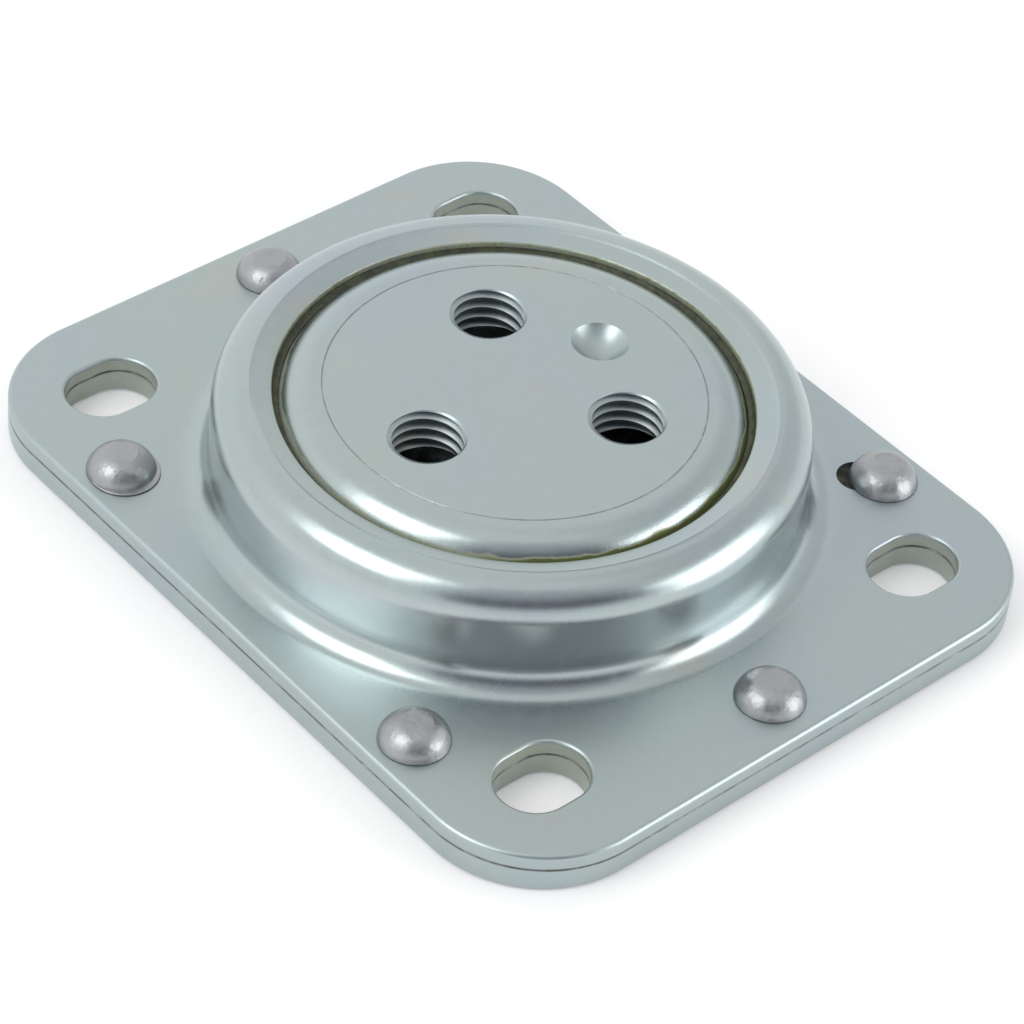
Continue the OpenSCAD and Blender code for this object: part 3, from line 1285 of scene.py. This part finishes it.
@dataclass(frozen=True)
class Zinc:
    """Blue passivated zinc plating: pale grey-green metal with cool and warm clouds, grain and fine marks.

    A pair of numbers is where a mask is 0 and where it is 1, as a radius or a height in mm, or as the square of
    X or Y for the film on the walls of holes. The rotor's edge is greasier toward greasy_way than away from it.
    """

    where: Where
    body: Tone = (173, 185, 184)
    cool: Tone = (171, 183, 188)
    warm: Tone = (181, 183, 175)
    # Painted sheen: a paler tone that lightens the dome's wall all round.
    painted_wall_sheen: Tone = (191, 198, 200)
    film: Tone = (164, 169, 146)
    grease: Tone = (100, 108, 64)
    # Dark dirt along the joint between the plates, and painted shade in the rotor's scribed groove.
    seam_dirt_and_groove_shade: Tone = (84, 84, 76)
    metallic: float = 0.93
    roughness: float = 0.2
    satin: float = 0.17
    bore_r: float = 28.5
    ring_r: float = 31.2
    scribe_r: float = 22.7
    joint_z: float = 3.0
    run_down: float = 1.3
    greasy_way: Point = (0.17, -0.98)
    dome_z: Point = (14.0, 15.0)
    bore_grease: Point = (17.0, 16.2)
    edge_grease: Point = (16.55, 16.05)
    rim_r: Point = (24.5, 25.5)
    base_low: Point = (0.1, 0.3)
    base_high: Point = (2.95, 2.7)
    upper_high: Point = (4.85, 4.4)
    inside_x2: Point = (1300.0, 1240.0)
    inside_y2: Point = (2110.0, 2040.0)
    face_r: Point = (25.6, 24.2)
    edge_r: Point = (24.6, 25.6)
    flange_r: Point = (37.2, 41.0)
    curve_in: Point = (31.6, 32.6)
    curve_out: Point = (38.6, 37.4)
    wall_low: Point = (6.0, 8.5)
    wall_high: Point = (16.0, 14.0)
    clouds: Patches = Patches(26.0, 3.0, 0.55, 3.0)
    drift: Patches = Patches(14.0, 2.0, 0.5, 11.0)
    mottle: Patches = Patches(1.6, 4.0, 0.65, 5.0)
    grain: Patches = Patches(0.22, 3.0, 0.7, 1.0)
    spots: Patches = Patches(1.3, 4.0, 0.7, 7.0)
    runs: Patches = Patches(6.0, 3.0, 0.6, 21.0)
    dirt: Patches = Patches(2.2, 3.0, 0.6, 13.0)
    long_marks: Scratches = Scratches(24.0, 9.0, 0.16, 0.2, 2.0)
    short_marks: Scratches = Scratches(118.0, 7.0, 0.14, 0.16, 8.0)

    def stains(self, coat: Coat) -> Wire:
        """How strongly grease and dirt stain the finish.

        Args:
            coat: The finish's node tree.

        Returns:
            The stain's strength, from 0 to 1.
        """
        x, y, z = coat.parts
        radius = coat.radius
        if self.where is Where.ROTOR:
            edge = (z - coat.noise(self.runs) * self.run_down).step(*self.edge_grease) * radius.step(*self.rim_r)
            toward = (x * self.greasy_way[0] + y * self.greasy_way[1]) / (radius + 0.01)
            return edge * (0.35 + toward.step(0.35, 0.75) * 0.65)
        spots = coat.noise(self.spots)
        inside = (x * x).step(*self.inside_x2) * (y * y).step(*self.inside_y2) * (0.3 + spots * 0.9)
        if self.where is Where.BASE:
            return inside * z.step(*self.base_high) * z.step(*self.base_low) * 0.35
        bore = radius.step(self.bore_r + 0.2, self.bore_r + 0.05) * z.step(*self.dome_z)
        depth = 0.3 + z.step(*self.bore_grease) * 0.4
        return bore * (depth + spots.step(0.4, 0.65) * 0.4) + inside * z.step(*self.upper_high) * 0.4

    def seam_dirt_and_groove_shade_mask(self, coat: Coat) -> Wire:
        """How strongly dark dirt marks the joint between the plates, or how strongly painted shade, with dirt in
        patches, darkens the rotor's scribed groove.

        Args:
            coat: The finish's node tree.

        Returns:
            The strength of the dirt and of the painted groove shade, from 0 to 1.
        """
        dirt = coat.noise(self.dirt).step(0.25, 0.6)
        # Painted shade: the rotor's scribed groove is darkened all round, more where the dirt noise is high.
        if self.where is Where.ROTOR:
            line = coat.radius.step(self.scribe_r - 0.14, self.scribe_r - 0.05)
            return line * coat.radius.step(self.scribe_r + 0.14, self.scribe_r + 0.05) * (0.15 + dirt * 0.4)
        z = coat.parts[2]
        above = z.step(self.joint_z + 0.32, self.joint_z + 0.04)
        return above * z.step(self.joint_z - 0.3, self.joint_z - 0.04) * (0.35 + dirt * 0.6)

    def regions(self, coat: Coat) -> tuple[Wire | float, Wire | float]:
        """Where the sheet kept its satin skin, and where the press or the tool stretched it, which also masks
        the painted sheen on the dome's wall.

        Args:
            coat: The finish's node tree.

        Returns:
            The satin share and the stretched share, from 0 to 1.
        """
        if self.where is Where.BASE:
            return 0.7, 0.0
        radius = coat.radius
        if self.where is Where.ROTOR:
            return radius.step(*self.face_r), radius.step(*self.edge_r)
        ring = radius.step(self.ring_r, self.ring_r - 0.6) * coat.parts[2].step(*self.dome_z)
        stretched = radius.step(*self.curve_in) * radius.step(*self.curve_out)
        return radius.step(*self.flange_r) + ring * 0.7, stretched

    def turned(self, coat: Coat) -> Wire:
        """Fine rings that the coining tool left round the bore.

        Args:
            coat: The finish's node tree.

        Returns:
            Their height, from 0 to 1.
        """
        line = coat.node("ShaderNodeCombineXYZ", {}, {0: coat.radius * 6.0, 1: 3.0, 2: 5.0})
        rings = coat.node("ShaderNodeTexNoise", {}, {"Vector": line, "Scale": 1.0, "Detail": 2.0}, "Fac")
        return rings * coat.radius.step(self.ring_r + 0.1, self.ring_r - 0.2) * coat.parts[2].step(*self.dome_z)

    def material(self) -> Material:
        """Lays out the finish.

        Returns:
            The finished material.
        """
        coat = Coat(f"zinc_{self.where.value}")
        clouds, drift = coat.noise(self.clouds), coat.noise(self.drift)
        mottle, grain = coat.noise(self.mottle), coat.noise(self.grain)
        marks = coat.scratches(self.long_marks) + coat.scratches(self.short_marks)
        satin, curved = self.regions(coat)
        stain, seam_dirt_and_groove_shade = self.stains(coat), self.seam_dirt_and_groove_shade_mask(coat)
        wall = curved * coat.parts[2].step(*self.wall_low) * coat.parts[2].step(*self.wall_high)

        colour = coat.mix(clouds.step(0.42, 0.72), tone(*self.body), tone(*self.cool))
        colour = coat.mix(drift.step(0.55, 0.8) * 0.7, colour, tone(*self.warm))
        # Painted sheen: the dome's wall is lightened all round with the paler tone.
        colour = coat.mix(wall * 0.9, colour, tone(*self.painted_wall_sheen))
        colour = coat.mix(1.0, colour, coat.grey(0.93 + mottle * 0.1 + grain * 0.06), "MULTIPLY")
        colour = coat.mix(stain.step(0.0, 0.55), colour, tone(*self.film))
        colour = coat.mix(stain.step(0.45, 0.95), colour, tone(*self.grease))
        # Dark dirt at the plates' joint; on the rotor, painted shade in the scribed groove.
        colour = coat.mix(seam_dirt_and_groove_shade, colour, tone(*self.seam_dirt_and_groove_shade))

        metal = (self.metallic - stain.step(0.0, 0.5) * 0.75) * (1.0 - seam_dirt_and_groove_shade * 0.8)
        rough = self.roughness + satin * self.satin + curved * 0.03 + (mottle - 0.5) * 0.12
        rough = rough + (clouds - 0.5) * 0.08 + marks * 0.05 + stain * 0.12
        normal = coat.bump(grain * (0.35 + curved * 0.95), 0.016, 0.6)
        normal = coat.bump(mottle, 0.03, 0.25, normal)
        normal = coat.bump(1.0 - marks, 0.002, 0.5, normal)
        if self.where is Where.UPPER:
            normal = coat.bump(self.turned(coat), 0.02, 0.5, normal)
        return coat.surface(base_color=colour, metallic=metal, roughness=rough, normal=normal)


@dataclass(frozen=True)
class SnappedSteel:
    """The rivets' plain steel: neutral grey, hammered by the snap, with dirt and painted contact shade round the
    foot of the head.
    """

    body: Tone = (166, 168, 169)
    # Dirt and painted contact shade: the dark tone round the foot of each head.
    dark_matte: Tone = (62, 62, 54)
    roughness: float = 0.39
    seat_z: float = 5.0
    mottle: Patches = Patches(1.1, 4.0, 0.6, 2.0)
    grain: Patches = Patches(0.18, 3.0, 0.7, 6.0)
    dents: Patches = Patches(1.5, 2.0, 0.5, 9.0)

    def material(self) -> Material:
        """Lays out the finish.

        Returns:
            The finished material.
        """
        coat = Coat("snapped_steel")
        mottle, grain = coat.noise(self.mottle), coat.noise(self.grain)
        colour = coat.mix(1.0, tone(*self.body), coat.grey(0.86 + mottle * 0.22 + grain * 0.08), "MULTIPLY")
        z = coat.parts[2]
        # Dirt and painted contact shade: a dark, less metallic band round the foot of each head.
        dark_matte = (z + mottle * 0.2).step(self.seat_z + 0.26, self.seat_z + 0.12) * z.step(3.5, 4.5) * 0.85
        colour = coat.mix(dark_matte, colour, tone(*self.dark_matte))
        rough = self.roughness + (mottle - 0.5) * 0.2 + dark_matte * 0.3
        normal = coat.bump(grain, 0.015, 0.5, coat.bump(coat.noise(self.dents), 0.3, 0.5))
        return coat.surface(base_color=colour, metallic=1.0 - dark_matte * 0.7, roughness=rough, normal=normal)


@dataclass(frozen=True)
class GreaseFilm:
    """Old olive grease with darker dirt in it."""

    name: str = "old_grease"
    body: Tone = (66, 71, 46)
    dirt: Tone = (40, 44, 34)
    roughness: float = 0.35
    lumps: Patches = Patches(1.4, 5.0, 0.7, 4.0)

    def material(self) -> Material:
        """Lays out the finish.

        Returns:
            The finished material.
        """
        coat = Coat(self.name)
        lumps = coat.noise(self.lumps)
        colour = coat.mix(lumps.step(0.4, 0.65), tone(*self.body), tone(*self.dirt))
        rough = self.roughness + lumps * 0.25
        return coat.surface(base_color=colour, roughness=rough, normal=coat.bump(lumps, 0.15, 0.6))


@dataclass(frozen=True)
class BallSteel:
    """Polished bearing steel with a thin film of grease."""

    body: Tone = (204, 207, 209)
    grease: Tone = (150, 146, 104)
    roughness: float = 0.12
    smears: Patches = Patches(2.5, 3.0, 0.6, 3.0)

    def material(self) -> Material:
        """Lays out the finish.

        Returns:
            The finished material.
        """
        coat = Coat("ball_steel")
        film = coat.noise(self.smears).step(0.5, 0.75)
        colour = coat.mix(film * 0.6, tone(*self.body), tone(*self.grease))
        rough = self.roughness + film * 0.3
        return coat.surface(base_color=colour, metallic=1.0, roughness=rough, normal=coat.bump(film, 0.02, 0.4))


@dataclass(frozen=True)
class Softbox:
    """A softbox that faces the part: azimuth, height and roll in degrees, size and distance in metres, watts."""

    name: str
    azimuth: float
    height: float
    size: Point
    distance: float
    power: float
    roll: float = 0.0

    def hang(self) -> None:
        """Hangs the light."""
        a, h = math.radians(self.azimuth), math.radians(self.height)
        away = Vector((math.cos(h) * math.cos(a), math.cos(h) * math.sin(a), math.sin(h)))
        data = bpy.data.lights.new(self.name, "AREA")
        data.shape, data.size, data.size_y, data.energy = "RECTANGLE", *self.size, self.power
        light = bpy.data.objects.new(self.name, data)
        bpy.context.scene.collection.objects.link(light)
        facing = away.to_track_quat("Z", "Y").to_matrix().to_4x4()
        roll = Matrix.Rotation(math.radians(self.roll), 4, "Z")
        light.matrix_world = Matrix.Translation(away * self.distance) @ facing @ roll


@dataclass
class Studio:
    """The floor, the light and the camera."""

    floor_tone: tuple[float, float, float] = (0.8, 0.8, 0.8)
    floor_glow: float = 0.2
    floor_size: float = 6.0
    floor_z: float = -0.0003
    sky: float = 1.05
    sky_fall: float = 0.1
    dark: float = 0.1
    dark_tint: tuple[float, float, float] = (0.93, 0.95, 1.14)
    dark_azimuth: float = 245.0
    dim: float = 0.74
    dim_azimuth: float = 345.0
    softboxes: tuple[Softbox, ...] = (
        Softbox("softbox_left", 167.5, 51.0, (0.31, 0.36), 0.6, 1.0, 8.0),
        Softbox("softbox_right", 307.0, 19.0, (0.4, 0.41), 0.6, 1.15),
    )
    frame_px: int = 1024
    lens_px: float = 3758.04
    sensor: float = 36.0
    camera_turn: tuple[float, float, float] = (-44.87, 42.41, 6.33)
    camera_place: tuple[float, float, float] = (-235.14, -237.86, 304.52)

    def floor(self) -> None:
        """Lays a wide pale floor under the resting face."""
        Bench.clear()
        bpy.ops.mesh.primitive_plane_add(size=self.floor_size, location=(0, 0, self.floor_z))
        floor = Bench.settle(Bench.name(bpy.context.object, "floor"))
        coat = Coat("floor_paper")
        rays = ("Is Camera Ray", "Is Glossy Ray", "Is Transmission Ray")
        camera, glossy, through = (coat.node("ShaderNodeLightPath", {}, {}, ray) for ray in rays)
        glow = coat.grey((camera + glossy + through) * self.floor_glow)
        values = {"base_color": self.floor_tone, "emission_color": glow, "emission_strength": 1.0}
        floor.data.materials.append(coat.surface(roughness=0.9, **values))

    @staticmethod
    def toward(level: tuple[Wire, Wire], azimuth: float) -> Wire:
        """How far a direction points toward an azimuth.

        Args:
            level: The X and Y of the direction along the ground, of length 1.
            azimuth: The azimuth in degrees.

        Returns:
            The cosine of the turn between them.
        """
        turn = math.radians(azimuth)
        return level[0] * math.cos(turn) + level[1] * math.sin(turn)

    def world(self) -> None:
        """Lights the part from all round, with a darker zone above the camera that gives the curves form."""
        world = bpy.data.worlds.new("studio")
        bpy.context.scene.world = world
        board = Board(world)
        x, y, z = board.split(board.node("ShaderNodeTexCoord", {}, {}, "Generated"))
        flat = (x * x + y * y + 1e-6) ** 0.5
        level = (x / flat, y / flat)
        rise = z.step(1.0, 0.93) * 0.45 + z.step(0.95, 0.5) * 0.55
        card = self.toward(level, self.dark_azimuth).step(0.7, 0.86) * z.step(0.06, 0.48) * rise
        shade = self.toward(level, self.dim_azimuth).step(0.45, 0.85) * z.step(0.1, 0.3) * z.step(1.0, 0.85)
        light = self.sky - z.step(0.58, 0.76) * self.sky_fall
        light = light * (1.0 - (1.0 - self.dark) * card) * (1.0 - (1.0 - self.dim) * shade)
        camera = board.node("ShaderNodeLightPath", {}, {}, "Is Camera Ray")
        light = light * (1.0 - camera) + camera
        tint = board.mix(card * (1.0 - camera), (1.0, 1.0, 1.0), self.dark_tint)
        shader = board.node("ShaderNodeBackground", {}, {"Color": tint, "Strength": light})
        board.node("ShaderNodeOutputWorld", {}, {"Surface": shader})

    def camera(self) -> None:
        """Sets the camera at the photograph's angle."""
        azimuth, elevation, roll = (math.radians(turn) for turn in self.camera_turn)
        level = math.cos(elevation)
        back = Vector((math.sin(azimuth) * level, -math.cos(azimuth) * level, math.sin(elevation)))
        right = Vector((math.cos(azimuth), math.sin(azimuth), 0))
        up = back.cross(right)
        right, up = math.cos(roll) * right + math.sin(roll) * up, math.cos(roll) * up - math.sin(roll) * right
        data = bpy.data.cameras.new("camera")
        data.sensor_width = self.sensor
        data.lens = self.lens_px / self.frame_px * self.sensor
        data.clip_start, data.clip_end = 0.02, 20
        camera = bpy.data.objects.new("camera", data)
        bpy.context.scene.collection.objects.link(camera)
        turn = Matrix((right, up, back)).transposed()
        camera.matrix_world = Matrix.Translation(Vector(self.camera_place) * MM) @ turn.to_4x4()
        bpy.context.scene.camera = camera

    def build(self) -> None:
        """Sets up the whole studio."""
        self.floor()
        self.world()
        for softbox in self.softboxes:
            softbox.hang()
        self.camera()


def dress(obj: Object, material: Material, body: str, slot: str, *nodes: str) -> None:
    """Gives a piece its finish, the body that it moves with and the nodes that it stands for.

    Args:
        obj: The piece.
        material: Its finish.
        body: The body that it rides on.
        slot: The record's material slot; not used.
        nodes: The CAD nodes that it replaces.
    """
    obj.data.materials.clear()
    obj.data.materials.append(material)
    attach(obj, body)
    if nodes:
        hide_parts(*nodes)
    LOG.info("%s rides on %s, %d faces", obj.name, body, len(obj.data.polygons))


def main() -> None:
    """Builds the pieces in order, from the base plate up, and sets up the studio."""
    logging.basicConfig(level=logging.INFO, format="%(name)s: %(message)s")
    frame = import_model()
    Bench.clear()

    dress(BasePlate().build(), Zinc(Where.BASE).material(), "plates", "base_plate", "base_plate")
    dress(UpperPlate().build(), Zinc(Where.UPPER).material(), "plates", "upper_plate", "upper_plate")
    dress(Rotor().build(), Zinc(Where.ROTOR).material(), "rotor", "rotor", "rotor")
    steel = SnappedSteel().material()
    for index, rivet in enumerate(Rivets().build(), 1):
        dress(rivet, steel, "plates", "rivet", f"rivet_{index}")
    dress(Grease().build(), GreaseFilm().material(), "plates", "upper_plate")
    dark_matte = GreaseFilm("packed_dirt", body=(86, 88, 76), dirt=(58, 60, 52), roughness=0.7)
    dress(PackedDirt().build(), dark_matte.material(), "plates", "upper_plate")

    balls = BallSteel().material()
    for name, node in frame["nodes"].items():
        if "ball" in name:
            node.data.materials.clear()
            node.data.materials.append(balls)
            LOG.info("%s keeps its solid, in polished steel", name)

    Studio().build()
    bpy.context.scene.view_settings.view_transform = "Standard"


if __name__ == "__main__":
    main()
